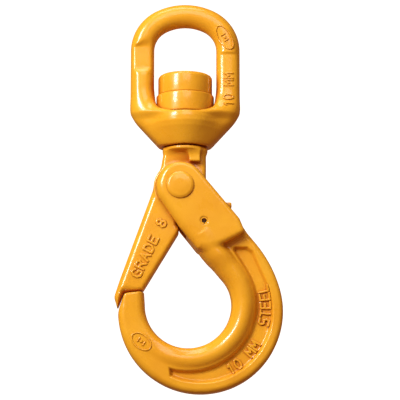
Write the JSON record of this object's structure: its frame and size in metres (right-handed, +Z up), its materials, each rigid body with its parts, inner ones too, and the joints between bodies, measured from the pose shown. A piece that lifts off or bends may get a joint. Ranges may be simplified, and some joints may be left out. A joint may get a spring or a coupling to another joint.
{
  "type": "self-locking swivel hook",
  "caption": "Forged self-locking swivel lifting hook: a ball-bearing swivel link above a gate forging, with a pivoting hook body locked by a sprung trigger.",
  "frame": {"origin": "the upper bearing point: on the swivel axis, at the inside of the swivel link's crown", "axes": "+Z up along the swivel axis, +X from the gate side towards the back of the hook, +Y through the thickness away from the marked front face"},
  "size_m": [0.1111, 0.0448, 0.2642],
  "materials": {
    "powder_coat": "gloss",
    "bearing_steel": "polished",
    "spring_steel": "satin",
    "cage_brass": "satin"
  },
  "bodies": {
    "link": {"swivel_link": "powder_coat", "bearing_race_lower": "bearing_steel"},
    "shank": {"gate_shank": "powder_coat", "swivel_nut": "powder_coat", "nut_lock_pin": "spring_steel", "bearing_cover": "powder_coat", "bearing_race_upper": "bearing_steel"},
    "cage": {"bearing_cage": "cage_brass", "bearing_balls": "bearing_steel"},
    "hook": {"hook_body": "powder_coat", "load_pin": "powder_coat", "trigger_pin": "spring_steel"},
    "trigger": {"trigger": "powder_coat", "trigger_spring": "spring_steel"}
  },
  "joints": [
    {"name": "swivel", "type": "hinge", "parent": "link", "child": "shank", "pos_m": [0, 0, -0.0565], "axis": [0, 0, 1], "continuous": true},
    {"name": "cage_spin", "type": "hinge", "parent": "link", "child": "cage", "pos_m": [0, 0, -0.0565], "axis": [0, 0, 1], "continuous": true},
    {"name": "hook_open", "type": "hinge", "parent": "shank", "child": "hook", "pos_m": [-0.0032, 0, -0.1115], "axis": [0, -1, 0], "range_deg": [0, 34]},
    {"name": "trigger_press", "type": "hinge", "parent": "hook", "child": "trigger", "pos_m": [0.0126, 0, -0.1354], "axis": [0, -1, 0], "range_deg": [0, 12], "stiffness_Nm_per_rad": 0.4, "springref_deg": -8.59, "deforming": ["trigger_spring"]}
  ],
  "couplings": [
    {"joint": "cage_spin", "follows": "swivel", "ratio": 0.5}
  ]
}
